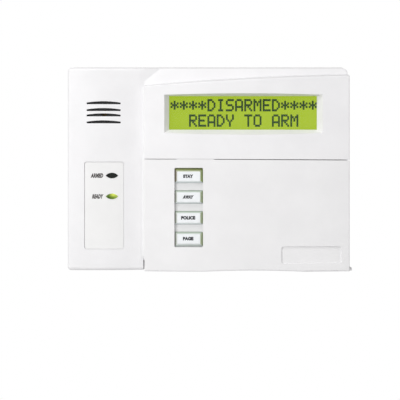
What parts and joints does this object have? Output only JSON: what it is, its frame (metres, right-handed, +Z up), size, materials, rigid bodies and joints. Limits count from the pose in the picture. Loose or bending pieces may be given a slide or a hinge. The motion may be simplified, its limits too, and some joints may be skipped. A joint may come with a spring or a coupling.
{
  "type": "alarm keypad panel",
  "caption": "Flat wall-mounted alarm keypad with a text display, status lights, sound slots and push keys behind a drop-down door.",
  "frame": {"origin": "centre of the four wall screw holes, on the wall plane at the back of the rear case", "axes": "+X to the right as seen from the room, +Z up, +Y into the wall, so the room is towards -Y"},
  "size_m": [0.1872, 0.0302, 0.1357],
  "materials": {
    "case_plastic": "satin white",
    "door_plastic": "satin white",
    "display_window": "clear gloss",
    "lcd_glass": "yellow-green, glossy",
    "lcd_frame": "dull tinned steel",
    "lcd_backlight": "translucent",
    "board": "green solder mask",
    "contact_rubber": "black",
    "connector": "black",
    "screw_steel": "zinc plated",
    "chip": "black epoxy",
    "crystal_can": "bright metal can",
    "capacitor": "dark blue sleeve",
    "terminal": "green",
    "sounder_case": "black",
    "sounder_brass": "brushed",
    "foam": "matt foam",
    "led_chip": "clear",
    "led_red": "tinted",
    "led_green": "tinted",
    "lens_dark": "dark smoked",
    "lens_green": "lit green",
    "label": "printed white",
    "door_label": "printed paper",
    "key_mat": "grey silicone",
    "contact_pad": "carbon ink",
    "key_plastic": "translucent, backlit green"
  },
  "bodies": {
    "housing": {"front_case": "case_plastic", "rear_case": "case_plastic", "display_window": "display_window", "lcd_frame": "lcd_frame", "lcd_glass": "lcd_glass", "lcd_backlight": "lcd_backlight", "lcd_contact_strips": "contact_rubber", "lcd_board": "board", "lcd_header": "connector", "lcd_screws": "screw_steel", "main_board": "board", "board_screws": "screw_steel", "microcontroller": "chip", "crystal": "crystal_can", "capacitors": "capacitor", "regulator": "chip", "terminal_block": "terminal", "terminal_screws": "screw_steel", "sounder_housing": "sounder_case", "sounder_lid": "sounder_case", "sounder_disc": "sounder_brass", "sounder_gasket": "foam", "led_armed": "led_red", "led_ready": "led_green", "armed_lens": "lens_dark", "ready_lens": "lens_green", "status_label": "label", "key_mat": "key_mat", "key_backlights": "led_chip", "contact_pads": "contact_pad"},
    "door": {"door": "door_plastic", "door_label": "door_label"},
    "key_stay": {"key_stay": "key_plastic"},
    "key_away": {"key_away": "key_plastic"},
    "key_police": {"key_police": "key_plastic"},
    "key_page": {"key_page": "key_plastic"},
    "key_1": {"key_1": "key_plastic"},
    "key_2": {"key_2": "key_plastic"},
    "key_3": {"key_3": "key_plastic"},
    "key_4": {"key_4": "key_plastic"},
    "key_5": {"key_5": "key_plastic"},
    "key_6": {"key_6": "key_plastic"},
    "key_7": {"key_7": "key_plastic"},
    "key_8": {"key_8": "key_plastic"},
    "key_9": {"key_9": "key_plastic"},
    "key_star": {"key_star": "key_plastic"},
    "key_0": {"key_0": "key_plastic"},
    "key_hash": {"key_hash": "key_plastic"}
  },
  "joints": [
    {"name": "door_hinge", "type": "hinge", "parent": "housing", "child": "door", "pos_m": [0.0245, -0.0225, -0.0656], "axis": [1, 0, 0], "range_deg": [0, 160]},
    {"name": "key_stay_press", "type": "slide", "parent": "housing", "child": "key_stay", "axis": [0, 1, 0], "range_m": [0, 0.0012], "stiffness_N_per_m": 600},
    {"name": "key_away_press", "type": "slide", "parent": "housing", "child": "key_away", "axis": [0, 1, 0], "range_m": [0, 0.0012], "stiffness_N_per_m": 600},
    {"name": "key_police_press", "type": "slide", "parent": "housing", "child": "key_police", "axis": [0, 1, 0], "range_m": [0, 0.0012], "stiffness_N_per_m": 600},
    {"name": "key_page_press", "type": "slide", "parent": "housing", "child": "key_page", "axis": [0, 1, 0], "range_m": [0, 0.0012], "stiffness_N_per_m": 600},
    {"name": "key_1_press", "type": "slide", "parent": "housing", "child": "key_1", "axis": [0, 1, 0], "range_m": [0, 0.0012], "stiffness_N_per_m": 600},
    {"name": "key_2_press", "type": "slide", "parent": "housing", "child": "key_2", "axis": [0, 1, 0], "range_m": [0, 0.0012], "stiffness_N_per_m": 600},
    {"name": "key_3_press", "type": "slide", "parent": "housing", "child": "key_3", "axis": [0, 1, 0], "range_m": [0, 0.0012], "stiffness_N_per_m": 600},
    {"name": "key_4_press", "type": "slide", "parent": "housing", "child": "key_4", "axis": [0, 1, 0], "range_m": [0, 0.0012], "stiffness_N_per_m": 600},
    {"name": "key_5_press", "type": "slide", "parent": "housing", "child": "key_5", "axis": [0, 1, 0], "range_m": [0, 0.0012], "stiffness_N_per_m": 600},
    {"name": "key_6_press", "type": "slide", "parent": "housing", "child": "key_6", "axis": [0, 1, 0], "range_m": [0, 0.0012], "stiffness_N_per_m": 600},
    {"name": "key_7_press", "type": "slide", "parent": "housing", "child": "key_7", "axis": [0, 1, 0], "range_m": [0, 0.0012], "stiffness_N_per_m": 600},
    {"name": "key_8_press", "type": "slide", "parent": "housing", "child": "key_8", "axis": [0, 1, 0], "range_m": [0, 0.0012], "stiffness_N_per_m": 600},
    {"name": "key_9_press", "type": "slide", "parent": "housing", "child": "key_9", "axis": [0, 1, 0], "range_m": [0, 0.0012], "stiffness_N_per_m": 600},
    {"name": "key_star_press", "type": "slide", "parent": "housing", "child": "key_star", "axis": [0, 1, 0], "range_m": [0, 0.0012], "stiffness_N_per_m": 600},
    {"name": "key_0_press", "type": "slide", "parent": "housing", "child": "key_0", "axis": [0, 1, 0], "range_m": [0, 0.0012], "stiffness_N_per_m": 600},
    {"name": "key_hash_press", "type": "slide", "parent": "housing", "child": "key_hash", "axis": [0, 1, 0], "range_m": [0, 0.0012], "stiffness_N_per_m": 600}
  ]
}
